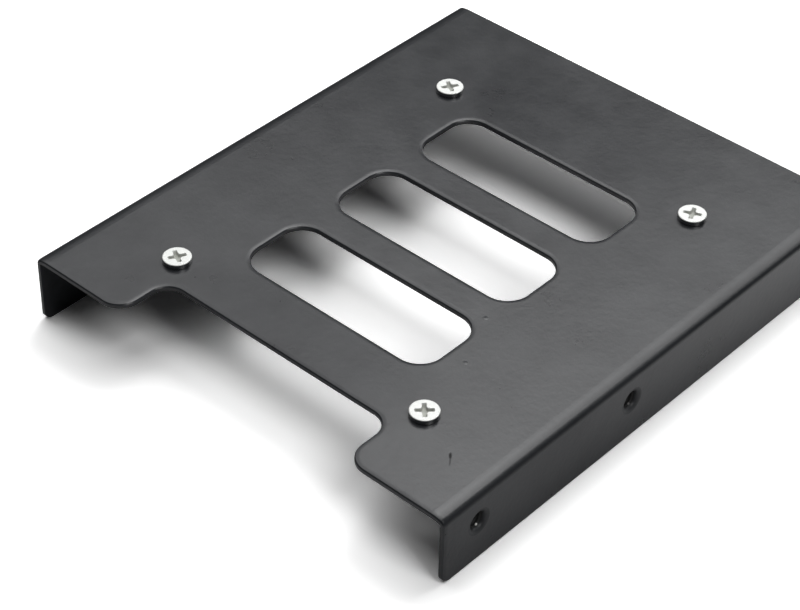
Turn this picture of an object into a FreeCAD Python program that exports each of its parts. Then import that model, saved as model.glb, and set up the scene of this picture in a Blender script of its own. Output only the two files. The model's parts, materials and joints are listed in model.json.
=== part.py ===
"""Mounting bracket that carries a 2.5-inch drive in a 3.5-inch bay, with its four drive screws.

The bracket is one steel sheet: a plate with three slots and a connector notch, and two flanges folded
down along its sides. Each flange has three tapped holes whose collars are drawn inwards from the sheet.

Millimetres, +Z up. The origin is on the ground under the middle of the bracket: X runs across the
width, Y along the length with the notch at -Y, and the flanges stand on Z = 0.
"""

import FreeCAD
import Part
import Sketcher
import math
import os

SIZES = {
    # folded sheet
    "sheet": 1.0,
    "bend_inside": 0.3,
    "run_in": 3.1,
    "run_in_radius": 9.0,
    "tray_width": 101.6,
    "tray_height": 15.0,
    "foot_corner": 2.0,
    "roll_width": 0.7,
    "roll_drop": 0.13,
    "roll_blend": 3.0,
    "roll_end": 0.2,
    "edge_break": 0.15,
    # tapped holes of the flanges, on the side pattern of a 3.5-inch bay
    "front_margin": 9.0,
    "bay_middle": 41.6,
    "bay_span": 101.6,
    "rear_margin": 9.0,
    "bay_drop": 6.35,
    "bay_bore": 3.5,
    "collar_wall": 0.55,
    "collar_reach": 1.2,
    "mouth_flare": 1.0,
    # slots of the plate
    "slot_count": 3,
    "slot_length": 45.6,
    "slot_width": 16.5,
    "slot_corner": 5.0,
    "slot_bar": 7.5,
    "slot_front": 25.5,
    # connector notch in the front edge
    "notch_width": 55.8,
    "notch_depth": 12.0,
    "notch_inner": 4.0,
    "notch_outer": 4.5,
    # drive screws, on the bottom pattern of a 2.5-inch drive
    "drive_row": 17.25,
    "drive_pattern_x": 61.72,
    "drive_pattern_y": 76.6,
    "hole_clearance": 0.4,
    "screw_thread": 3.0,
    "screw_length": 4.0,
    "screw_neck": 2.6,
    "screw_end": 0.3,
    "head_width": 5.6,
    "head_height": 1.1,
    "head_edge": 0.2,
    "recess_span": 3.6,
    "recess_wing": 0.9,
    "recess_depth": 0.7,
    "recess_floor": 2.4,
    # turn of each screw's cross, in degrees
    "turn_front_left": 62.0,
    "turn_front_right": 44.5,
    "turn_rear_left": 57.0,
    "turn_rear_right": 24.5,
}


class Size:
    """A number together with the sheet expression that drives it."""

    def __init__(self, number, text):
        self.number = number
        self.text = text

    def __add__(self, other):
        return Size(self.number + other.number, f"({self.text} + {other.text})")

    def __sub__(self, other):
        return Size(self.number - other.number, f"({self.text} - {other.text})")

    def __neg__(self):
        return Size(-self.number, f"(0 - {self.text})")

    def __mul__(self, factor):
        return Size(self.number * factor, f"({self.text} * {factor})")

    def __truediv__(self, divisor):
        return Size(self.number / divisor, f"({self.text} / {divisor})")


def size(alias):
    return Size(SIZES[alias], f"sizes.{alias}")


ZERO = Size(0.0, "0")
EPSILON = 1e-6

SHEET = size("sheet")
BEND_OUTSIDE = size("bend_inside") + SHEET
RUN_IN_OUTSIDE = size("run_in_radius")
HALF_WIDTH = size("tray_width") / 2
PLATE_TOP = size("tray_height")
HALF_LENGTH = (size("front_margin") + size("bay_span") + size("rear_margin")) / 2
FRONT = -HALF_LENGTH
COLLAR = size("bay_bore") + size("collar_wall") * 2


def make_sheet(doc):
    sheet = doc.addObject("Spreadsheet::Sheet", "sizes")
    for row, (alias, value) in enumerate(SIZES.items(), start=1):
        sheet.set(f"A{row}", alias)
        sheet.set(f"B{row}", str(value))
        sheet.setAlias(f"B{row}", alias)
    doc.recompute()


# Sketches

def origin_feature(body, role):
    return next(item for item in body.Origin.OriginFeatures if item.Role == role)


def new_sketch(body, name, plane, lift=ZERO):
    """A sketch on one of the body's origin planes, lifted along that plane's normal."""
    sketch = body.newObject("Sketcher::SketchObject", name)
    sketch.AttachmentSupport = (origin_feature(body, plane), [""])
    sketch.MapMode = "FlatFace"
    sketch.setExpression("AttachmentOffset.Base.z", lift.text)
    return sketch


def bind(sketch, name, value, kind, *places):
    """Add a dimension that follows the sheet."""
    index = sketch.addConstraint(Sketcher.Constraint(kind, *places, value.number))
    sketch.renameConstraint(index, name)
    sketch.setExpression(f"Constraints.{name}", value.text)


def bind_place(sketch, name, value, kind, geometry, point):
    """Hold one coordinate of a point: on the axis where it is zero, or else at its distance from it."""
    origin = (-1, 1)
    axis = -2 if kind == "DistanceX" else -1
    if abs(value.number) < EPSILON:
        sketch.addConstraint(Sketcher.Constraint("PointOnObject", geometry, point, axis))
    elif value.number > 0:
        bind(sketch, name, value, kind, *origin, geometry, point)
    else:
        bind(sketch, name, -value, kind, geometry, point, *origin)


def circle_at(sketch, name, x, y, diameter):
    centre = FreeCAD.Vector(x.number, y.number, 0)
    circle = sketch.addGeometry(Part.Circle(centre, FreeCAD.Vector(0, 0, 1), diameter.number / 2))
    bind_place(sketch, f"{name}_x", x, "DistanceX", circle, 3)
    bind_place(sketch, f"{name}_y", y, "DistanceY", circle, 3)
    bind(sketch, f"{name}_diameter", diameter, "Diameter", circle)


def polygon(sketch, corners):
    """A closed outline of straight lines through corners of (x, y)."""
    points = [FreeCAD.Vector(x.number, y.number, 0) for x, y in corners]
    lines = [
        sketch.addGeometry(Part.LineSegment(start, end))
        for start, end in zip(points, points[1:] + points[:1])
    ]
    for here, (x, y) in enumerate(corners):
        sketch.addConstraint(Sketcher.Constraint("Coincident", lines[here - 1], 2, lines[here], 1))
        bind_place(sketch, f"x_{here}", x, "DistanceX", lines[here], 1)
        bind_place(sketch, f"y_{here}", y, "DistanceY", lines[here], 1)


def rounded_outline(sketch, corners):
    """A closed outline of level and upright lines through corners of (x, y, radius or None)."""
    points = [FreeCAD.Vector(x.number, y.number, 0) for x, y, _ in corners]
    radii = [0.0 if radius is None else radius.number for _, _, radius in corners]
    count = len(corners)
    runs = []
    for here in range(count):
        there = (here + 1) % count
        along = (points[there] - points[here]).normalize()
        start = points[here] + along * radii[here]
        end = points[there] - along * radii[there]
        upright = abs(along.x) < EPSILON
        line = sketch.addGeometry(Part.LineSegment(start, end))
        sketch.addConstraint(Sketcher.Constraint("Vertical" if upright else "Horizontal", line))
        runs.append((line, along, upright))
    for here, (x, y, radius) in enumerate(corners):
        before, along_in, _ = runs[here - 1]
        after, along_out, upright = runs[here]
        if radius is None:
            sketch.addConstraint(Sketcher.Constraint("Coincident", before, 2, after, 1))
        else:
            runs_met = (before, along_in), (after, along_out)
            round_corner(sketch, f"radius_{here}", points[here], radius, *runs_met)
        if upright:
            bind_place(sketch, f"x_{here}", x, "DistanceX", after, 1)
        else:
            bind_place(sketch, f"y_{here}", y, "DistanceY", after, 1)


def round_corner(sketch, name, corner, radius, run_in, run_out):
    """Join the end of one line to the start of the next with an arc that is tangent to both."""
    before, along_in = run_in
    after, along_out = run_out
    centre = corner + (along_out - along_in) * radius.number
    left_turn = along_in.cross(along_out).z > 0
    spoke = -along_out if left_turn else along_in
    start = math.atan2(spoke.y, spoke.x)
    circle = Part.Circle(centre, FreeCAD.Vector(0, 0, 1), radius.number)
    arc = sketch.addGeometry(Part.ArcOfCircle(circle, start, start + math.pi / 2))
    arc_in, arc_out = (1, 2) if left_turn else (2, 1)
    sketch.addConstraint(Sketcher.Constraint("Tangent", before, 2, arc, arc_in))
    sketch.addConstraint(Sketcher.Constraint("Tangent", arc, arc_out, after, 1))
    bind(sketch, name, radius, "Radius", arc)


def rectangle(left, right, low, high, low_radius=None, high_radius=None):
    lower = [(left, low, low_radius), (right, low, low_radius)]
    upper = [(right, high, high_radius), (left, high, high_radius)]
    return lower + upper


# Features

def extrude(body, kind, name, sketch, length, reverse=False, symmetric=False):
    feature = body.newObject(f"PartDesign::{kind}", name)
    feature.Profile = sketch
    feature.SideType = "Symmetric" if symmetric else "One side"
    feature.Reversed = reverse
    feature.setExpression("Length", length.text)
    return feature


def dress_edges(body, kind, name, value, picked):
    """Put a fillet or a chamfer on the edges of the body's last feature that the test picks."""
    body.Document.recompute()
    base = body.Tip
    numbered = enumerate(base.Shape.Edges, start=1)
    feature = body.newObject(f"PartDesign::{kind}", name)
    feature.Base = (base, [f"Edge{number}" for number, edge in numbered if picked(base.Shape, edge)])
    feature.setExpression("Radius" if kind == "Fillet" else "Size", value.text)
    return feature


def fillet(body, name, radius, picked):
    dress_edges(body, "Fillet", name, radius, picked)


def chamfer(body, name, setback, picked):
    dress_edges(body, "Chamfer", name, setback, picked)


def slope(body, name, width, drop, picked):
    """A chamfer that is wide on each edge's first face and takes little from its second."""
    feature = dress_edges(body, "Chamfer", name, width, picked)
    feature.ChamferType = "Two distances"
    feature.setExpression("Size2", drop.text)


def is_near(first, second):
    return abs(first - second) < EPSILON


def runs_along(edge, axis):
    """True for a straight edge along an axis, given by its letter."""
    ends = [vertex.Point for vertex in edge.Vertexes]
    if len(ends) != 2 or edge.Curve.TypeId != "Part::GeomLine":
        return False
    across = [letter for letter in "xyz" if letter != axis]
    return all(is_near(getattr(ends[0], letter), getattr(ends[1], letter)) for letter in across)


def on_outer_skin(face):
    """True for an outer face of the plate, the flanges or their bends."""
    surface = face.Surface
    if surface.TypeId == "Part::GeomCylinder":
        outer_radii = (BEND_OUTSIDE.number, RUN_IN_OUTSIDE.number)
        is_outer = any(is_near(surface.Radius, radius) for radius in outer_radii)
        return is_outer and is_near(abs(surface.Axis.y), 1)
    if surface.TypeId != "Part::GeomPlane":
        return False
    centre = face.CenterOfMass
    if is_near(abs(surface.Axis.z), 1):
        return is_near(centre.z, PLATE_TOP.number)
    return is_near(abs(surface.Axis.x), 1) and is_near(abs(centre.x), HALF_WIDTH.number)


def is_cut_edge(shape, edge):
    """True where a cut or an end of the sheet meets its outer skin, with the skin as the first face."""
    beside = shape.ancestorsOfType(edge, Part.Face)
    return [on_outer_skin(face) for face in beside] == [True, False]


def at_rear_or_foot(edge):
    """True for an edge in the sheet's rear end or in the feet, up to the top of their rounded corners."""
    place = edge.CenterOfMass
    return is_near(place.y, HALF_LENGTH.number) or place.z < size("foot_corner").number


def is_rolled_edge(shape, edge):
    """True for a cut edge of the slots, the notch and the front end."""
    return is_cut_edge(shape, edge) and not at_rear_or_foot(edge)


def is_plain_edge(shape, edge):
    """True where the outer skin meets the rear end or a foot."""
    beside = shape.ancestorsOfType(edge, Part.Face)
    return at_rear_or_foot(edge) and [on_outer_skin(face) for face in beside].count(True) == 1


def is_sloping(face):
    """True for a face that lies askew to all three axes, as the slope of a rolled edge does."""
    surface = face.Surface
    if surface.TypeId not in ("Part::GeomPlane", "Part::GeomCylinder"):
        return True
    return max(abs(surface.Axis.x), abs(surface.Axis.y), abs(surface.Axis.z)) < 1 - EPSILON


def ends_slope(shape, edge):
    """True where a slope meets a face of another kind, above the feet."""
    beside = shape.ancestorsOfType(edge, Part.Face)
    above_foot = edge.CenterOfMass.z > EPSILON
    return above_foot and [is_sloping(face) for face in beside].count(True) == 1


def is_slope_top(shape, edge):
    """True where a slope meets the outer skin."""
    beside = shape.ancestorsOfType(edge, Part.Face)
    return ends_slope(shape, edge) and any(on_outer_skin(face) for face in beside)


def is_slope_foot(shape, edge):
    """True where a slope meets the cut through the sheet."""
    return ends_slope(shape, edge) and not is_slope_top(shape, edge)


def is_circle(edge, radius):
    return edge.Curve.TypeId == "Part::GeomCircle" and is_near(edge.Curve.Radius, radius.number)


# The folded sheet

def bent_skin(sketch, name, depth):
    """One skin of the bent section, this deep inside the outer skin; gives the lines of its two flanges.

    Each bend turns in two steps: a wide run-in that starts in the plate, then the tight fold.
    """
    flange = HALF_WIDTH - depth
    level = PLATE_TOP - depth
    run_start = HALF_WIDTH - size("run_in")
    wide = RUN_IN_OUTSIDE - depth
    tight = BEND_OUTSIDE - depth
    between = (wide - tight).number
    fold_x = (flange - tight).number
    run_x = run_start.number
    run_z = (level - wide).number
    run_turn = math.asin((fold_x - run_x) / between)
    fold_z = run_z + between * math.cos(run_turn)
    fold_turn = math.pi / 2 - run_turn

    def line(start, end):
        return sketch.addGeometry(Part.LineSegment(FreeCAD.Vector(*start, 0), FreeCAD.Vector(*end, 0)))

    def arc(x, z, radius, start, end):
        circle = Part.Circle(FreeCAD.Vector(x, z, 0), FreeCAD.Vector(0, 0, 1), radius.number)
        return sketch.addGeometry(Part.ArcOfCircle(circle, start, end))

    right = line((flange.number, 0), (flange.number, fold_z))
    right_fold = arc(fold_x, fold_z, tight, 0, fold_turn)
    right_run = arc(run_x, run_z, wide, fold_turn, math.pi / 2)
    plate = line((run_x, level.number), (-run_x, level.number))
    left_run = arc(-run_x, run_z, wide, math.pi / 2, math.pi - fold_turn)
    left_fold = arc(-fold_x, fold_z, tight, math.pi - fold_turn, math.pi)
    left = line((-flange.number, fold_z), (-flange.number, 0))
    chain = [right, right_fold, right_run, plate, left_run, left_fold, left]
    for before, after in zip(chain, chain[1:]):
        sketch.addConstraint(Sketcher.Constraint("Tangent", before, 2, after, 1))
    sketch.addConstraint(Sketcher.Constraint("Horizontal", plate))
    bind_place(sketch, f"{name}_level", level, "DistanceY", plate, 1)
    sides = (
        ("right", right, 1, plate, 1, flange, run_start, right_fold, right_run),
        ("left", left, 2, plate, 2, -flange, -run_start, left_fold, left_run),
    )
    for side, upright, foot, run, run_end, outside, inside, fold, run_in in sides:
        sketch.addConstraint(Sketcher.Constraint("Vertical", upright))
        bind_place(sketch, f"{name}_{side}_flange", outside, "DistanceX", upright, foot)
        bind_place(sketch, f"{name}_{side}_foot", ZERO, "DistanceY", upright, foot)
        bind_place(sketch, f"{name}_{side}_plate", inside, "DistanceX", run, run_end)
        bind(sketch, f"{name}_{side}_fold", tight, "Radius", fold)
        bind(sketch, f"{name}_{side}_run_in", wide, "Radius", run_in)
    return right, left


def fold_channel(body):
    """The plate and its two flanges, as one bent section run along the length."""
    section = new_sketch(body, "section", "XZ_Plane")
    outer = bent_skin(section, "outer", ZERO)
    inner = bent_skin(section, "inner", SHEET)
    for outer_line, inner_line, end in zip(outer, inner, (1, 2)):
        ends = section.getPoint(outer_line, end), section.getPoint(inner_line, end)
        foot = section.addGeometry(Part.LineSegment(*ends))
        section.addConstraint(Sketcher.Constraint("Coincident", foot, 1, outer_line, end))
        section.addConstraint(Sketcher.Constraint("Coincident", foot, 2, inner_line, end))
    return extrude(body, "Pad", "channel", section, HALF_LENGTH * 2, symmetric=True)


def cut_slots(body):
    half = size("slot_length") / 2
    low = FRONT + size("slot_front")
    corner = size("slot_corner")
    outline = new_sketch(body, "slot_outline", "XY_Plane", PLATE_TOP)
    rounded_outline(outline, rectangle(-half, half, low, low + size("slot_width"), corner, corner))
    slot = extrude(body, "Pocket", "slot", outline, SHEET)
    row = body.newObject("PartDesign::LinearPattern", "slots")
    row.Originals = [slot]
    row.Direction = (origin_feature(body, "Y_Axis"), [""])
    row.Mode = "Spacing"
    row.setExpression("Offset", (size("slot_width") + size("slot_bar")).text)
    row.setExpression("Occurrences", size("slot_count").text)
    body.Tip = row


def cut_notch(body):
    """The opening in the front edge that leaves the drive's connector free."""
    half = size("notch_width") / 2
    past_edge = FRONT - SHEET
    deep = FRONT + size("notch_depth")
    outline = new_sketch(body, "notch_outline", "XY_Plane", PLATE_TOP)
    rounded_outline(outline, rectangle(-half, half, past_edge, deep, high_radius=size("notch_inner")))
    extrude(body, "Pocket", "notch", outline, SHEET)

    def is_mouth_corner(_, edge):
        place = edge.CenterOfMass
        beside_notch = is_near(abs(place.x), half.number) and is_near(place.y, FRONT.number)
        return beside_notch and runs_along(edge, "z")
    fillet(body, "notch_mouth", size("notch_outer"), is_mouth_corner)


def drive_places():
    """The place of each drive screw and its hole, by corner."""
    right = size("drive_pattern_x") / 2
    front = FRONT + size("drive_row")
    rear = front + size("drive_pattern_y")
    return {
        "front_left": (-right, front),
        "front_right": (right, front),
        "rear_left": (-right, rear),
        "rear_right": (right, rear),
    }


def cut_drive_holes(body):
    outline = new_sketch(body, "drive_hole_outline", "XY_Plane", PLATE_TOP)
    diameter = size("screw_thread") + size("hole_clearance")
    for corner, (x, y) in drive_places().items():
        circle_at(outline, corner, x, y, diameter)
    extrude(body, "Pocket", "drive_holes", outline, SHEET)


def soften_edges(body):
    """Roll the punched edges on the outside of the sheet, then round the feet and break the plain edges.

    A roll is a long shallow slope, blended into the skin above it and broken into the cut below it.
    """
    slope(body, "roll_slopes", size("roll_width"), size("roll_drop"), is_rolled_edge)
    chamfer(body, "roll_ends", size("roll_end"), is_slope_foot)
    fillet(body, "roll_blends", size("roll_blend"), is_slope_top)

    def is_foot_corner(_, edge):
        place = edge.CenterOfMass
        at_end = is_near(abs(place.y), HALF_LENGTH.number)
        return at_end and is_near(place.z, 0) and runs_along(edge, "x")
    fillet(body, "foot_corners", size("foot_corner"), is_foot_corner)
    chamfer(body, "edge_breaks", size("edge_break"), is_plain_edge)


def draw_bay_holes(body):
    """The tapped holes of both flanges, with collars drawn towards the inside."""
    first = FRONT + size("front_margin")
    places = [first, first + size("bay_middle"), first + size("bay_span")]
    level = PLATE_TOP - size("bay_drop")
    inner = HALF_WIDTH - SHEET
    reach = SHEET + size("collar_reach")
    collar_circles = new_sketch(body, "collar_circles", "YZ_Plane", inner)
    bore_circles = new_sketch(body, "bore_circles", "YZ_Plane", HALF_WIDTH)
    for number, place in enumerate(places, start=1):
        circle_at(collar_circles, f"collar_{number}", place, level, COLLAR)
        circle_at(bore_circles, f"bore_{number}", place, level, size("bay_bore"))
    collars = extrude(body, "Pad", "collars", collar_circles, size("collar_reach"), reverse=True)
    bores = extrude(body, "Pocket", "bores", bore_circles, reach)
    both_sides = body.newObject("PartDesign::Mirrored", "both_flanges")
    both_sides.Originals = [collars, bores]
    both_sides.MirrorPlane = (origin_feature(body, "YZ_Plane"), [""])
    body.Tip = both_sides

    def is_mouth(_, edge):
        at_flange = is_near(abs(edge.CenterOfMass.x), HALF_WIDTH.number)
        return at_flange and is_circle(edge, size("bay_bore") / 2)
    chamfer(body, "mouths", size("mouth_flare"), is_mouth)


def make_bracket(doc):
    body = doc.addObject("PartDesign::Body", "bracket")
    body.Label = "bracket"
    fold_channel(body)
    cut_slots(body)
    cut_notch(body)
    soften_edges(body)
    cut_drive_holes(body)
    draw_bay_holes(body)
    return body


# The drive screws

def cut_recess(body, name, top):
    """The cross recess: one wing with sloping ends, and the same wing turned a quarter."""
    reach = size("recess_span") / 2
    floor_reach = size("recess_floor") / 2
    floor = top - size("recess_depth")
    outline = new_sketch(body, f"{name}_wing_outline", "XZ_Plane")
    polygon(outline, [(-reach, top), (-floor_reach, floor), (floor_reach, floor), (reach, top)])
    wing = extrude(body, "Pocket", f"{name}_wing", outline, size("recess_wing"), symmetric=True)
    crossed = body.newObject("PartDesign::PolarPattern", f"{name}_recess")
    crossed.Originals = [wing]
    crossed.Axis = (origin_feature(body, "Z_Axis"), [""])
    crossed.Angle = 90
    crossed.Occurrences = 2
    body.Tip = crossed


def is_rim(edge, radius, level):
    return is_circle(edge, radius) and is_near(edge.CenterOfMass.z, level.number)


def make_screw(doc, name, x, y, turn):
    """One screw in its own frame, with the seat of its head at Z = 0, set in its hole and turned.

    The thread starts under the sheet, below a thinner neck that the hole clears.
    """
    body = doc.addObject("PartDesign::Body", name)
    body.Label = name
    thread = size("screw_thread") / 2
    neck = size("screw_neck") / 2
    head = size("head_width") / 2
    top = size("head_height")
    tip = -size("screw_length")
    half_section = new_sketch(body, f"{name}_section", "XZ_Plane")
    rounded_outline(half_section, [
        (ZERO, tip, None),
        (thread, tip, None),
        (thread, -SHEET, None),
        (neck, -SHEET, None),
        (neck, ZERO, None),
        (head, ZERO, None),
        (head, top, None),
        (ZERO, top, None),
    ])
    turned = body.newObject("PartDesign::Revolution", f"{name}_turned")
    turned.Profile = half_section
    turned.ReferenceAxis = (half_section, ["V_Axis"])
    turned.Angle = 360
    chamfer(body, f"{name}_end", size("screw_end"), lambda _, edge: is_rim(edge, thread, tip))
    chamfer(body, f"{name}_rim", size("head_edge"), lambda _, edge: is_rim(edge, head, top))
    cut_recess(body, name, top)
    body.setExpression("Placement.Base.x", x.text)
    body.setExpression("Placement.Base.y", y.text)
    body.setExpression("Placement.Base.z", PLATE_TOP.text)
    body.setExpression("Placement.Rotation.Angle", turn.text)
    return body


def make_screws(doc):
    group = doc.addObject("Part::Compound", "drive_screws")
    group.Label = "drive_screws"
    group.Links = [
        make_screw(doc, f"drive_screw_{corner}", x, y, size(f"turn_{corner}"))
        for corner, (x, y) in drive_places().items()
    ]
    return group


def check(doc, parts):
    """Stop if any object failed, or any part is not whole."""
    failed = [item.Name for item in doc.Objects if {"Invalid", "Error"} & set(item.State)]
    if failed:
        raise RuntimeError(f"failed objects: {failed}")
    for part in parts:
        if part.Shape.isNull() or not part.Shape.isValid():
            raise RuntimeError(f"{part.Label} has no valid shape")


def main():
    doc = FreeCAD.newDocument("drive_mounting_bracket")
    make_sheet(doc)
    parts = [make_bracket(doc), make_screws(doc)]
    doc.recompute()
    check(doc, parts)
    os.makedirs("parts", exist_ok=True)
    for part in parts:
        part.Shape.exportStep(f"parts/{part.Label}.step")
        print(part.Label, len(part.Shape.Solids), "solids", round(part.Shape.Volume, 2), "mm3")


main()
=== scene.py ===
"""Studio scene of the drive mounting bracket: paint, screws, tapped holes, light and camera."""

import json
import math

import bmesh
import bpy
from mathutils import Matrix, Quaternion, Vector


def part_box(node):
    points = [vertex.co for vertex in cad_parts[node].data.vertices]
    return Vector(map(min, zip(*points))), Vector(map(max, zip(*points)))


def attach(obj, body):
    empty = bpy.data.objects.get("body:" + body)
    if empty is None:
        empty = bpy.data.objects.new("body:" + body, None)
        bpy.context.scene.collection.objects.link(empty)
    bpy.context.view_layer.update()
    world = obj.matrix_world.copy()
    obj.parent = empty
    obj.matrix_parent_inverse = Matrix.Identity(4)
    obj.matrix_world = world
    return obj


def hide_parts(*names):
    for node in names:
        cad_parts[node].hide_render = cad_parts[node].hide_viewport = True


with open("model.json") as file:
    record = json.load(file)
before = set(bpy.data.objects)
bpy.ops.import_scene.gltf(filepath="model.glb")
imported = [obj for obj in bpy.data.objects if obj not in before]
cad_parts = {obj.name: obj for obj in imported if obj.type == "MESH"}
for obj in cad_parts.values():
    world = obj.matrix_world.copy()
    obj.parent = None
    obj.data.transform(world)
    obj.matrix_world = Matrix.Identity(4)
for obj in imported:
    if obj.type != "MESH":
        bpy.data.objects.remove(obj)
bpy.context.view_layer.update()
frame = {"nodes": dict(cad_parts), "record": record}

MM = 0.001
SMOOTH_ANGLE = math.radians(32)

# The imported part, in millimetres: where its faces, screws and tapped holes are

MOUNTS = {mount["name"]: mount for mount in frame["record"]["mounts"]}
BRACKET_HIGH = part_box("bracket")[1]
SCREWS_LOW, SCREWS_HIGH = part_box("drive_screws")
PLATE_TOP = BRACKET_HIGH.z / MM
FLANGE_FACE = BRACKET_HIGH.x / MM

STUDS = MOUNTS["drive_studs"]
STUD_CENTRE = Vector(STUDS["pos_m"]) / MM
STUD_HALF_X = STUDS["dims"]["spacing_x_mm"] / 2
STUD_HALF_Y = STUDS["dims"]["spacing_y_mm"] / 2
HEAD_RADIUS = SCREWS_HIGH.x / MM - STUD_HALF_X
HEAD_HEIGHT = SCREWS_HIGH.z / MM - PLATE_TOP
NECK_LENGTH = PLATE_TOP - STUD_CENTRE.z
SHANK_LENGTH = PLATE_TOP - SCREWS_LOW.z / MM
THREAD_RADIUS = STUDS["dims"]["stud_r_mm"]

# Screw details, in millimetres; each screw's turn is in degrees, by its side and its end

SCREW_SIDES = 72
HEAD_EDGE = 0.22
HEAD_EDGE_STEPS = 5
HEAD_UNDER_EDGE = 0.12
NECK_RADIUS = 1.3
THREAD_PITCH = 0.5
THREAD_ROOT = 1.2
THREAD_STEPS = 10
TIP_RADIUS = 1.2
SCREW_TURNS = {(-1, -1): 62, (1, -1): 44.5, (-1, 1): 57, (1, 1): 24.5}

# Thread flank, in shares of the thread's height: rise over half a pitch, and what is cut off at the root

FLANK_RISE = 1.3
FLANK_CUT = 0.15

# Cross recess of a screw, in millimetres; a foot adds to half the floor's span and wing, and to its level

RECESS_SPAN = 3.6
RECESS_WING = 0.85
RECESS_DEPTH = 0.7
RECESS_FILLET = 0.5
RECESS_FILLET_STEPS = 5
RECESS_TIP_SHARE = 0.35
RECESS_LIP = 0.05
RECESS_LIP_SHARE = 0.3
RECESS_FLOOR_SPAN = 2.4
RECESS_FLOOR_WING = 0.6
UPPER_FOOT = (0.04, 0.02, 0.1)
LOWER_FOOT = (-0.06, -0.04, 0.02)

# Tapped hole details, in millimetres

TAP_SIDES = 64
TAP_PITCH = 0.794
TAP_STEPS = 14
TAP_ROOT = 1.7
TAP_CREST = 1.52
TAP_TOP = 0.2
TAP_DEPTH = 1.2
TAP_START = 0.32
TAP_SKIN = 1.85
TAP_FADE_IN = 0.2
TAP_FADE_OUT = 0.12
MOUTH_ROLL = 1.0
MOUTH_REACH = 1.05
MOUTH_STEPS = 12
MOUTH_BACK = 0.2
MOUTH_LAP = 0.05

# Sockets of a mix node that hold colours

MIX_FIRST = 6
MIX_SECOND = 7
MIX_RESULT = 2

# Range that holds most of a noise

NOISE_LOW = 0.3
NOISE_HIGH = 0.7

# Where a mark is full and where it is gone, in shares of its half sizes

MARK_CORE = 0.4
MARK_SKIN = 1.0

# Black paint: lengths in millimetres, roughness and sheen from low to high

GRAIN_SIZE = 0.5
GRAIN_HEIGHT = 0.008
PEEL_SIZE = 1.3
PEEL_HEIGHT = 0.022
CLOUD_SIZE = 11.0
PAINT_DEEP = (0.0185, 0.0198, 0.0225)
PAINT_PALE = (0.022, 0.0236, 0.0269)
# Painted shade: the folds are painted darker than the flat sheet
PAINT_FOLD_SHADE = (0.014, 0.015, 0.017)
PAINT_WORN = (0.006, 0.006, 0.006)
PAINT_IOR = 1.5
PLATE_ROUGHNESS = (0.27, 0.34)
MOUTH_ROUGHNESS = (0.46, 0.5)
WORN_ROUGHNESS = 0.5
SHEEN = (0.43, 0.57)
# Painted shade: less sheen in the two soft patches on the plate
SHADE_PATCH_SHEEN = 0.78
# Painted shade: less sheen on the folds
FOLD_SHADE_SHEEN = 0.55

# Where the folds are painted darker and less glossy as painted shade, in millimetres in from the flange's
# face and down from the plate's top

FOLD_INSET_START = 2.4
FOLD_INSET_FULL = 0.7
FOLD_DROP_START = 1.4
FOLD_DROP_FULL = 0.4

# Marks on the plate, in millimetres: place, half sizes, and for a scratch its turn in degrees

SCRATCH = ((40.9, -47.2, PLATE_TOP), (0.95, 0.3, 1.0), -49)
SCRATCH_TAIL = ((41.8, -48.3, PLATE_TOP), (1.3, 0.16, 1.0), -52)
TAIL_SHARE = 0.45
SCRATCH_DEPTH = 0.06
NEAR_SPECK = ((27.09, -27.47, PLATE_TOP), (0.48, 0.48, 0.5))
FAR_SPECK = ((21.66, -15.69, PLATE_TOP), (0.55, 0.5, 0.5))
SPECK_HEIGHT = 0.035
# Two large soft patches where the sheen is lowered, a painted shade on the plate's reflection
FRONT_SHADE_PATCH = ((3.0, -42.0, PLATE_TOP), (32.0, 15.0, 20.0))
REAR_SHADE_PATCH = ((-8.0, 40.0, PLATE_TOP), (38.0, 17.0, 20.0))

# Zinc of the screws: lengths in millimetres, drops from the head's top, insets from the head's side

MOTTLE_SIZE = 0.6
FINE_SIZE = 0.12
FINE_HEIGHT = 0.004
ZINC_DEEP = (0.74, 0.75, 0.73)
ZINC_PALE = (0.83, 0.84, 0.83)
ZINC_RECESS = (0.5, 0.51, 0.48)
# Painted shade: the head's side is painted darker
ZINC_SIDE_SHADE = (0.4, 0.4, 0.4)
ZINC_ROUGHNESS = (0.67, 0.79)
RECESS_ROUGHER = 0.08
SIDE_SMOOTHER = 0.5
RECESS_DROPS = (0.03, 0.3)
RECESS_RADII = (2.2, 2.0)
SIDE_DROPS = (0.05, 0.25)
SIDE_INSETS = (0.15, 0.05)

# Threads of the holes: the spot where the paint is rubbed off, in millimetres from the bore's start

SPOT_PLACE = (1.6, 0.42, 0.08)
SPOT_HALF_SIZES = (0.4, 0.35, 0.35)
PATCH_SIZE = 0.3
PATCH_LOW = 0.3
PATCH_HIGH = 0.6
PATCH_LEAST = 0.3
THREAD_PAINT = (0.025, 0.025, 0.025)
THREAD_BARE = (0.65, 0.64, 0.62)
THREAD_SHEEN = 0.2
PAINTED_ROUGHNESS = 0.6
BARE_ROUGHNESS = 0.45
FRONT_BARE = 1.0
OTHERS_BARE = 0.3

# Floor: its tones, and how its mirror image is painted darker away from the object and towards the front as
# painted shade, in millimetres

FLOOR_HALF_SIZE = 6.0
FLOOR_TONE = (0.8, 0.8, 0.8)
FLOOR_SEEN = (1.4, 1.4, 1.4)
BLACK = (0.0, 0.0, 0.0)
WHITE = (1.0, 1.0, 1.0)
MIRROR_FADE_START = 70
MIRROR_FADE_END = 240
MIRROR_FADE_LEAST = 0.15
MIRROR_FRONT_START = -20
MIRROR_FRONT_END = 70
MIRROR_FRONT_LEAST = 0.45

# Light: panels in metres, with the radiance that a mirror would show and a roll in degrees

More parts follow.
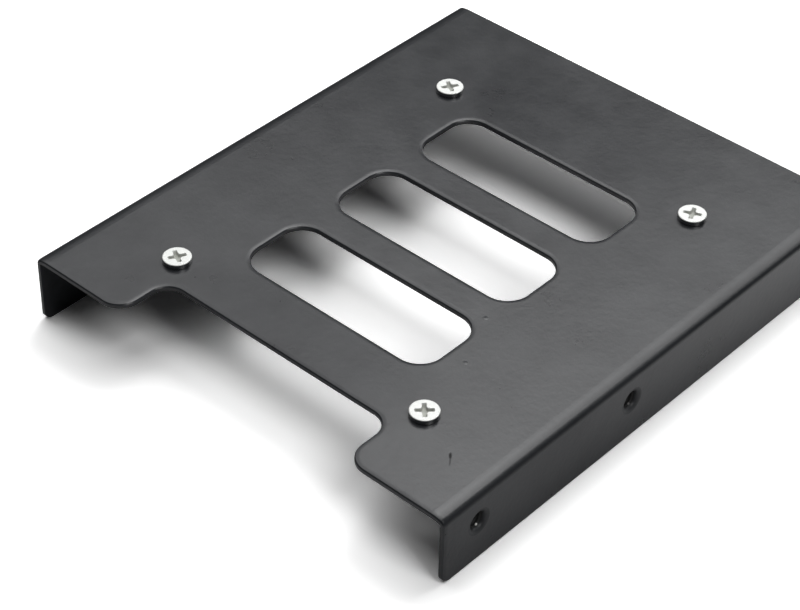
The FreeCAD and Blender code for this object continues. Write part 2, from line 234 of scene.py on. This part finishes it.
WORLD_STRENGTH = 0.03
LAMPS = {
    "right_side": {"place": (0.8, -0.1, 1.0), "size": (0.5, 0.7), "radiance": 4.5},
    "overhead": {"place": (-0.525, 0.125, 1.3), "size": (1.46, 1.79), "radiance": 1.6},
    "mirror_side": {"place": (-0.03, 0.937, 0.9), "size": (1.43, 0.78), "radiance": 2.96, "roll": 41},
    "bend_glint": {"place": (-0.28, 0.55, 1.145), "size": (0.37, 0.37), "radiance": 3.2},
}

# Camera of the photograph: place, lens and sensor in millimetres, angles in degrees

CAMERA_PLACE = Vector((228.197, -271.762, 291.216)) * MM
CAMERA_AZIMUTH = math.radians(41.597)
CAMERA_ELEVATION = math.radians(39.772)
CAMERA_ROLL = math.radians(-1.163)
CAMERA_LENS = 106.68
CAMERA_SENSOR = 36.0
CAMERA_CLIP = 10 * MM


def turns(sides):
    """Angles of the sides of a round shape."""
    return [2 * math.pi * side / sides for side in range(sides)]


def around(radius, turn, height):
    """A point at some turn about Z."""
    return Vector((radius * math.cos(turn), radius * math.sin(turn), height))


def circle(radius, height, sides):
    """Points of a level circle about Z."""
    return [around(radius, turn, height) for turn in turns(sides)]


def add_ring(shape, points):
    return [shape.verts.new(point * MM) for point in points]


def join_rings(shape, first, second):
    """Faces between two rings of equal count."""
    count = len(first)
    for index in range(count):
        after = (index + 1) % count
        shape.faces.new((first[index], first[after], second[after], second[index]))


def loft(shape, rings):
    for first, second in zip(rings, rings[1:]):
        join_rings(shape, first, second)


def cap_ring(shape, ring, centre):
    """Close a ring with a fan of faces about one point."""
    middle = shape.verts.new(centre * MM)
    for index, corner in enumerate(ring):
        shape.faces.new((corner, ring[(index + 1) % len(ring)], middle))


def ring_edges(shape, ring):
    edges = []
    for index, corner in enumerate(ring):
        after = ring[(index + 1) % len(ring)]
        edges.append(shape.edges.get((corner, after)) or shape.edges.new((corner, after)))
    return edges


def make_piece(name, shape, material, place):
    """One visible piece of the object, which rides on its only body."""
    bmesh.ops.recalc_face_normals(shape, faces=shape.faces)
    for face in shape.faces:
        face.smooth = True
    for edge in shape.edges:
        edge.smooth = not edge.seam and edge.calc_face_angle() < SMOOTH_ANGLE
    mesh = bpy.data.meshes.new(name)
    shape.to_mesh(mesh)
    shape.free()
    mesh.materials.append(material)
    piece = bpy.data.objects.new(name, mesh)
    bpy.context.scene.collection.objects.link(piece)
    piece.matrix_world = place
    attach(piece, "root")
    return piece


def thread_height(turn, along, pitch):
    """Height of a thread's flank, 0 at the root and 1 at the crest."""
    phase = (along / pitch - turn / (2 * math.pi)) % 1.0
    return min(1.0, max(0.0, FLANK_RISE * abs(2 * phase - 1) - FLANK_CUT))


# Screws

def cross_outline(half_span, half_wing, fillet, height):
    """A cross with filleted inner corners, as one loop of points about Z."""
    tip = RECESS_TIP_SHARE * half_wing
    wing = [(half_span, 0.0), (half_span, half_wing - tip), (half_span - tip, half_wing)]
    reach = half_wing + fillet
    for step in range(RECESS_FILLET_STEPS + 1):
        turn = math.radians(-90 - 90 * step / RECESS_FILLET_STEPS)
        wing.append((reach + fillet * math.cos(turn), reach + fillet * math.sin(turn)))
    wing += [(half_wing, half_span - tip), (half_wing - tip, half_span)]
    points = []
    for quarter in range(4):
        turn = Matrix.Rotation(math.radians(90 * quarter), 3, "Z")
        points += [turn @ Vector((x, y, height)) for x, y in wing]
    return points


def add_rim(shape):
    """Rolled rim of the head, from its flat top round to its underside, as a list of rings."""
    top_radius = HEAD_RADIUS - HEAD_EDGE
    rings = []
    for step in range(HEAD_EDGE_STEPS + 1):
        turn = math.radians(90 * step / HEAD_EDGE_STEPS)
        radius = top_radius + HEAD_EDGE * math.sin(turn)
        height = HEAD_HEIGHT - HEAD_EDGE * (1 - math.cos(turn))
        rings.append(add_ring(shape, circle(radius, height, SCREW_SIDES)))
    rings.append(add_ring(shape, circle(HEAD_RADIUS, HEAD_UNDER_EDGE, SCREW_SIDES)))
    rings.append(add_ring(shape, circle(HEAD_RADIUS - HEAD_UNDER_EDGE, 0.0, SCREW_SIDES)))
    loft(shape, rings)
    return rings


def add_recess(shape):
    """Tapered cross recess with a rounded lip and foot; gives the ring of its lip."""
    span = RECESS_SPAN / 2
    wing = RECESS_WING / 2
    floor = HEAD_HEIGHT - RECESS_DEPTH
    lip = RECESS_LIP_SHARE * RECESS_LIP
    levels = [
        (span + RECESS_LIP, wing + RECESS_LIP, HEAD_HEIGHT),
        (span + lip, wing + lip, HEAD_HEIGHT - lip),
        (span, wing, HEAD_HEIGHT - RECESS_LIP),
    ]
    for out, aside, above in (UPPER_FOOT, LOWER_FOOT):
        levels.append((RECESS_FLOOR_SPAN / 2 + out, RECESS_FLOOR_WING / 2 + aside, floor + above))
    rings = []
    for half_span, half_wing, height in levels:
        rings.append(add_ring(shape, cross_outline(half_span, half_wing, RECESS_FILLET, height)))
    loft(shape, rings)
    cap_ring(shape, rings[-1], Vector((0, 0, floor)))
    return rings[0]


def add_head(shape):
    """Flat head with a rolled rim and a cross recess; gives the ring under the head."""
    rim = add_rim(shape)
    lip = add_recess(shape)
    edges = ring_edges(shape, rim[0]) + ring_edges(shape, lip)
    bmesh.ops.triangle_fill(shape, use_beauty=True, edges=edges)
    for edge in edges:
        edge.seam = True
    return rim[-1]


def add_shank(shape, under_head):
    """Neck through the plate, then the thread and its chamfered end."""
    neck_top = add_ring(shape, circle(NECK_RADIUS, 0.0, SCREW_SIDES))
    neck_end = add_ring(shape, circle(NECK_RADIUS, -NECK_LENGTH, SCREW_SIDES))
    rings = [under_head, neck_top, neck_end]
    length = SHANK_LENGTH - NECK_LENGTH
    steps = round(length / THREAD_PITCH * THREAD_STEPS)
    for step in range(1, steps + 1):
        along = length * step / steps
        cone = TIP_RADIUS + (length - along)
        runout = NECK_RADIUS + along
        points = []
        for turn in turns(SCREW_SIDES):
            rise = (THREAD_RADIUS - THREAD_ROOT) * thread_height(turn, along, THREAD_PITCH)
            radius = min(THREAD_ROOT + rise, cone, runout)
            points.append(around(radius, turn, -NECK_LENGTH - along))
        rings.append(add_ring(shape, points))
    loft(shape, rings)
    cap_ring(shape, rings[-1], Vector((0, 0, -SHANK_LENGTH)))


def make_screws(material):
    for (side, end), turn in SCREW_TURNS.items():
        shape = bmesh.new()
        add_shank(shape, add_head(shape))
        across = STUD_CENTRE.x + side * STUD_HALF_X
        along = STUD_CENTRE.y + end * STUD_HALF_Y
        place = Vector((across, along, PLATE_TOP)) * MM
        name = f"screw_{'front' if end < 0 else 'rear'}_{'left' if side < 0 else 'right'}"
        matrix = Matrix.Translation(place) @ Matrix.Rotation(math.radians(turn), 4, "Z")
        screw = make_piece(name, shape, material, matrix)
        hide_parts("drive_screws")


# Tapped holes of the flanges

def add_tap(shape):
    """Inner thread in a drawn collar, a closed sleeve whose outside lies in the collar's wall."""
    length = TAP_TOP + TAP_DEPTH
    steps = round(length / TAP_PITCH * TAP_STEPS)
    inside = []
    for step in range(steps + 1):
        along = length * step / steps
        fade = min(1.0, along / TAP_FADE_IN, (length - along) / TAP_FADE_OUT)
        points = []
        for turn in turns(TAP_SIDES):
            rise = (TAP_ROOT - TAP_CREST) * fade * thread_height(turn, along - TAP_START, TAP_PITCH)
            points.append(around(TAP_ROOT - rise, turn, TAP_TOP - along))
        inside.append(add_ring(shape, points))
    back = add_ring(shape, circle(TAP_SKIN, -TAP_DEPTH, TAP_SIDES))
    front = add_ring(shape, circle(TAP_SKIN, TAP_TOP, TAP_SIDES))
    loft(shape, inside + [back, front, inside[0]])


def add_mouth(shape):
    """Rolled mouth of a hole, a closed ring whose back lies in the sheet."""
    rings = []
    for step in range(MOUTH_STEPS + 1):
        turn = math.radians(90 * step / MOUTH_STEPS)
        radius = TAP_ROOT + MOUTH_REACH * (1 - math.cos(turn))
        height = MOUTH_ROLL * math.sin(turn)
        rings.append(add_ring(shape, circle(radius, height, TAP_SIDES)))
    back = add_ring(shape, circle(TAP_ROOT + MOUTH_REACH, MOUTH_ROLL - MOUTH_BACK, TAP_SIDES))
    deep = add_ring(shape, circle(TAP_ROOT + MOUTH_BACK, -MOUTH_LAP, TAP_SIDES))
    loft(shape, rings + [back, deep, rings[0]])


def make_tapped_holes(coat, rubbed, plain):
    """A thread and a mouth in each flange hole; the front row has the rubbed thread."""
    for label, side in (("right", 1), ("left", -1)):
        whole = MOUNTS[f"bay_holes_{label}"]
        pair = MOUNTS[f"bay_holes_{label}_near_pair"]
        across, middle, level = [value / MM for value in whole["pos_m"]]
        reach = whole["dims"]["spacing_x_mm"] / 2
        front = middle - reach
        rows = {"front": front, "middle": front + pair["dims"]["spacing_x_mm"], "rear": middle + reach}
        lie = Matrix.Rotation(side * math.pi / 2, 4, "Y")
        for row, along in rows.items():
            matrix = Matrix.Translation(Vector((across, along, level)) * MM) @ lie
            sleeve = bmesh.new()
            add_tap(sleeve)
            thread = rubbed if row == "front" else plain
            make_piece(f"tap_{label}_{row}", sleeve, thread, matrix)
            mouth = bmesh.new()
            add_mouth(mouth)
            make_piece(f"mouth_{label}_{row}", mouth, coat, matrix)


# Materials

class Material:
    """A node material with one principled shader and short ways to add and link nodes."""

    def __init__(self, name):
        self.material = bpy.data.materials.new(name)
        self.material.use_nodes = True
        self.nodes = self.material.node_tree.nodes
        self.links = self.material.node_tree.links
        self.shader = self.nodes["Principled BSDF"]

    def add(self, kind, settings=(), values=(), links=()):
        """A new node with its settings, its plain input values and what feeds its inputs."""
        node = self.nodes.new(f"ShaderNode{kind}")
        for key, value in dict(settings).items():
            setattr(node, key, value)
        for key, value in dict(values).items():
            node.inputs[key].default_value = value
        for key, source in dict(links).items():
            self.links.new(source, node.inputs[key])
        return node

    def place(self):
        return self.add("TexCoord").outputs["Object"]

    def split(self, vector):
        node = self.add("SeparateXYZ", links={"Vector": vector})
        return node.outputs["X"], node.outputs["Y"], node.outputs["Z"]

    def length(self, vector):
        return self.add("VectorMath", {"operation": "LENGTH"}, links={0: vector}).outputs["Value"]

    def noise(self, place, size, detail=2.0, roughness=0.5):
        """Noise whose lumps are about as wide as the size in millimetres."""
        values = {"Scale": 1 / (size * MM), "Detail": detail, "Roughness": roughness}
        return self.add("TexNoise", values=values, links={"Vector": place}).outputs["Fac"]

    def blend(self, source, start, end, low=0.0, high=1.0):
        """A number that goes from low to high as the source goes from start to end."""
        values = {"From Min": start, "From Max": end, "To Min": low, "To Max": high}
        return self.add("MapRange", values=values, links={"Value": source}).outputs["Result"]

    def spread(self, noise, low=0.0, high=1.0):
        """A number that goes from low to high over most of a noise."""
        return self.blend(noise, NOISE_LOW, NOISE_HIGH, low, high)

    def switch(self, mask, off, on):
        """One number off a mask and another on it."""
        return self.blend(mask, 0.0, 1.0, off, on)

    def mix(self, factor, first, second):
        """A colour between two, each given as a colour or as another node's output."""
        node = self.add("Mix", settings={"data_type": "RGBA"})
        self.links.new(factor, node.inputs["Factor"])
        for key, colour in ((MIX_FIRST, first), (MIX_SECOND, second)):
            if isinstance(colour, tuple):
                node.inputs[key].default_value = (*colour, 1.0)
            else:
                self.links.new(colour, node.inputs[key])
        return node.outputs[MIX_RESULT]

    def maths(self, operation, first, second=0.0):
        """One calculation on two numbers, each plain or another node's output; some use only the first."""
        node = self.add("Math", settings={"operation": operation})
        for key, value in ((0, first), (1, second)):
            if isinstance(value, float):
                node.inputs[key].default_value = value
            else:
                self.links.new(value, node.inputs[key])
        return node.outputs["Value"]

    def mark(self, place, centre, half_sizes, turn=0.0):
        """1 in the middle of an ellipsoid and 0 past its skin; sizes in millimetres, turn in degrees."""
        values = {
            "Location": Vector(centre) * MM,
            "Rotation": (0, 0, math.radians(turn)),
            "Scale": Vector(half_sizes) * MM,
        }
        local = self.add("Mapping", {"vector_type": "TEXTURE"}, values, {"Vector": place})
        return self.blend(self.length(local.outputs["Vector"]), MARK_SKIN, MARK_CORE)

    def bump(self, height, depth, normal=None):
        """Bump whose full height is the depth in millimetres."""
        links = {"Height": height}
        if normal is not None:
            links["Normal"] = normal
        return self.add("Bump", values={"Distance": depth * MM}, links=links).outputs["Normal"]

    def feed(self, **sockets):
        """Link or set the shader's inputs; underscores stand for spaces."""
        for key, value in sockets.items():
            socket = self.shader.inputs[key.replace("_", " ")]
            if isinstance(value, bpy.types.NodeSocket):
                self.links.new(value, socket)
            else:
                socket.default_value = value


def fold_shade_mask(coat, place):
    """1 on the tight folds between the plate and the flanges, where shade is painted, 0 on the flat sheet.
    """
    x, _, z = coat.split(place)
    start = (FLANGE_FACE - FOLD_INSET_START) * MM
    full = (FLANGE_FACE - FOLD_INSET_FULL) * MM
    across = coat.blend(coat.maths("ABSOLUTE", x), start, full)
    down = coat.blend(z, (PLATE_TOP - FOLD_DROP_START) * MM, (PLATE_TOP - FOLD_DROP_FULL) * MM)
    return coat.maths("MULTIPLY", across, down)


def powder_coat(name, roughness):
    """Semi-matte black paint: grain on orange peel, cloudy gloss, marks on the plate, painted shade on the
    folds, and two soft patches of lower sheen painted as shade.
    """
    coat = Material(name)
    place = coat.place()
    grain = coat.noise(place, GRAIN_SIZE, detail=0.5)
    peel = coat.noise(place, PEEL_SIZE, detail=1.0)
    cloud = coat.noise(place, CLOUD_SIZE, detail=4.0, roughness=0.65)
    fold_shade = fold_shade_mask(coat, place)
    tail = coat.maths("MULTIPLY", coat.mark(place, *SCRATCH_TAIL), TAIL_SHARE)
    worn = coat.maths("MAXIMUM", coat.mark(place, *SCRATCH), tail)
    specks = coat.maths("MAXIMUM", coat.mark(place, *FAR_SPECK), coat.mark(place, *NEAR_SPECK))
    shade_patches = coat.maths("MAXIMUM", coat.mark(place, *REAR_SHADE_PATCH), coat.mark(place, *FRONT_SHADE_PATCH))

    tone = coat.mix(coat.spread(cloud), PAINT_DEEP, PAINT_PALE)
    # Painted shade: darker colour on the folds
    tone = coat.mix(fold_shade, tone, PAINT_FOLD_SHADE)
    coat.feed(Base_Color=coat.mix(worn, tone, PAINT_WORN))
    rougher = coat.maths("MULTIPLY", worn, WORN_ROUGHNESS)
    coat.feed(Roughness=coat.maths("ADD", coat.spread(cloud, *roughness), rougher))
    marks = coat.bump(specks, SPECK_HEIGHT, normal=coat.bump(worn, -SCRATCH_DEPTH))
    coat.feed(Normal=coat.bump(grain, GRAIN_HEIGHT, normal=coat.bump(peel, PEEL_HEIGHT, normal=marks)))
    # Painted shade: the sheen is lowered in the two soft patches
    sheen = coat.maths("MULTIPLY", coat.spread(cloud, *SHEEN), coat.switch(shade_patches, 1.0, SHADE_PATCH_SHEEN))
    # Painted shade: less sheen on the folds
    sheen = coat.maths("MULTIPLY", sheen, coat.switch(fold_shade, 1.0, FOLD_SHADE_SHEEN))
    coat.feed(Specular_IOR_Level=sheen, IOR=PAINT_IOR)
    return coat.material


def head_mask(zinc, height, radius, drops, radii):
    """1 on a part of the head; drops under its top, and radii, are where it starts and where it is full."""
    by_height = zinc.blend(height, *[(HEAD_HEIGHT - drop) * MM for drop in drops])
    by_radius = zinc.blend(radius, *[value * MM for value in radii])
    return zinc.maths("MULTIPLY", by_height, by_radius)


def bright_zinc():
    """Bright plated steel, duller down in the cross recess, and painted darker round the head's side as
    painted shade.
    """
    zinc = Material("bright_zinc_finish")
    place = zinc.place()
    mottle = zinc.noise(place, MOTTLE_SIZE, detail=3.0)
    fine = zinc.noise(place, FINE_SIZE, detail=2.0)
    x, y, z = zinc.split(place)
    radius = zinc.length(zinc.add("CombineXYZ", links={"X": x, "Y": y}).outputs["Vector"])
    recess = head_mask(zinc, z, radius, RECESS_DROPS, RECESS_RADII)
    # Painted shade: darker colour round the head's side
    side = head_mask(zinc, z, radius, SIDE_DROPS, [HEAD_RADIUS - inset for inset in SIDE_INSETS])

    plate = zinc.mix(zinc.spread(mottle), ZINC_DEEP, ZINC_PALE)
    plate = zinc.mix(recess, plate, ZINC_RECESS)
    zinc.feed(Metallic=1.0, Base_Color=zinc.mix(side, plate, ZINC_SIDE_SHADE))
    rougher = zinc.maths("MULTIPLY", recess, RECESS_ROUGHER)
    roughness = zinc.maths("ADD", zinc.spread(mottle, *ZINC_ROUGHNESS), rougher)
    smoother = zinc.maths("MULTIPLY", side, SIDE_SMOOTHER)
    zinc.feed(Roughness=zinc.maths("SUBTRACT", roughness, smoother))
    zinc.feed(Normal=zinc.bump(fine, FINE_HEIGHT))
    return zinc.material


def tapped_thread(name, bare):
    """Cut thread under the paint, with one spot at the start of it rubbed bare to some degree."""
    steel = Material(name)
    place = steel.place()
    spot = steel.mark(place, SPOT_PLACE, SPOT_HALF_SIZES)
    patchy = steel.blend(steel.noise(place, PATCH_SIZE, detail=3.0), PATCH_LOW, PATCH_HIGH, PATCH_LEAST, 1.0)
    cut = steel.maths("MULTIPLY", steel.maths("MULTIPLY", spot, patchy), bare)
    steel.feed(Base_Color=steel.mix(cut, THREAD_PAINT, THREAD_BARE))
    steel.feed(Metallic=cut, Specular_IOR_Level=THREAD_SHEEN)
    steel.feed(Roughness=steel.switch(cut, PAINTED_ROUGHNESS, BARE_ROUGHNESS))
    return steel.material


def pale_floor():
    """Plain white table, paler to the camera; in the paint's reflection its tone is painted darker away from
    the object and towards the front, a painted shade.
    """
    floor = Material("pale_floor")
    path = floor.add("LightPath").outputs
    place = floor.place()
    _, y, _ = floor.split(place)
    away = floor.length(place)
    # Painted shade in reflections: darker away from the object and towards the front
    near = floor.blend(away, MIRROR_FADE_START * MM, MIRROR_FADE_END * MM, 1.0, MIRROR_FADE_LEAST)
    along = floor.blend(y, MIRROR_FRONT_START * MM, MIRROR_FRONT_END * MM, MIRROR_FRONT_LEAST, 1.0)
    mirror_shade_tone = floor.mix(floor.maths("MULTIPLY", near, along), BLACK, WHITE)
    mirrored = floor.maths("MAXIMUM", path["Is Glossy Ray"], path["Is Transmission Ray"])
    tone = floor.mix(mirrored, FLOOR_TONE, mirror_shade_tone)
    tone = floor.mix(path["Is Camera Ray"], tone, FLOOR_SEEN)
    matte = floor.add("BsdfDiffuse", links={"Color": tone})
    floor.links.new(matte.outputs["BSDF"], floor.nodes["Material Output"].inputs["Surface"])
    floor.nodes.remove(floor.shader)
    return floor.material


# Studio

def make_floor():
    shape = bmesh.new()
    bmesh.ops.create_grid(shape, x_segments=1, y_segments=1, size=FLOOR_HALF_SIZE)
    mesh = bpy.data.meshes.new("floor")
    shape.to_mesh(mesh)
    shape.free()
    mesh.materials.append(pale_floor())
    floor = bpy.data.objects.new("floor", mesh)
    bpy.context.scene.collection.objects.link(floor)


def make_lamp(name, place, size, radiance, roll=0.0):
    """A soft panel that faces the object, which the camera doesn't see."""
    width, length = size
    lamp = bpy.data.lights.new(name, "AREA")
    lamp.shape = "RECTANGLE"
    lamp.size = width
    lamp.size_y = length
    lamp.energy = radiance * math.pi * width * length
    holder = bpy.data.objects.new(name, lamp)
    holder.location = place
    facing = Vector(place).to_track_quat("Z", "Y")
    holder.rotation_euler = (facing @ Quaternion((0, 0, 1), math.radians(roll))).to_euler()
    holder.visible_camera = False
    bpy.context.scene.collection.objects.link(holder)


def make_world():
    world = bpy.data.worlds.new("studio")
    world.use_nodes = True
    background = world.node_tree.nodes["Background"]
    background.inputs["Color"].default_value = (*WHITE, 1.0)
    background.inputs["Strength"].default_value = WORLD_STRENGTH
    bpy.context.scene.world = world


def make_camera():
    turn, rise, roll = CAMERA_AZIMUTH, CAMERA_ELEVATION, CAMERA_ROLL
    back = Vector((math.sin(turn) * math.cos(rise), -math.cos(turn) * math.cos(rise), math.sin(rise)))
    level = Vector((math.cos(turn), math.sin(turn), 0))
    down = -back.cross(level)
    right = math.cos(roll) * level + math.sin(roll) * down
    up = math.sin(roll) * level - math.cos(roll) * down
    lens = bpy.data.cameras.new("camera")
    lens.lens = CAMERA_LENS
    lens.sensor_width = CAMERA_SENSOR
    lens.clip_start = CAMERA_CLIP
    holder = bpy.data.objects.new("camera", lens)
    axes = Matrix((right, up, back)).transposed().to_4x4()
    holder.matrix_world = Matrix.Translation(CAMERA_PLACE) @ axes
    bpy.context.scene.collection.objects.link(holder)
    bpy.context.scene.camera = holder


def main():
    paint = powder_coat("black_powder_coat_finish", PLATE_ROUGHNESS)
    frame["nodes"]["bracket"].material_slots[0].material = paint
    make_screws(bright_zinc())
    mouth_coat = powder_coat("mouth_coat_finish", MOUTH_ROUGHNESS)
    rubbed = tapped_thread("rubbed_thread_finish", FRONT_BARE)
    plain = tapped_thread("thread_finish", OTHERS_BARE)
    make_tapped_holes(mouth_coat, rubbed, plain)
    make_floor()
    make_world()
    for name, lamp in LAMPS.items():
        make_lamp(name, **lamp)
    make_camera()
    bpy.context.scene.view_settings.view_transform = "Standard"


main()
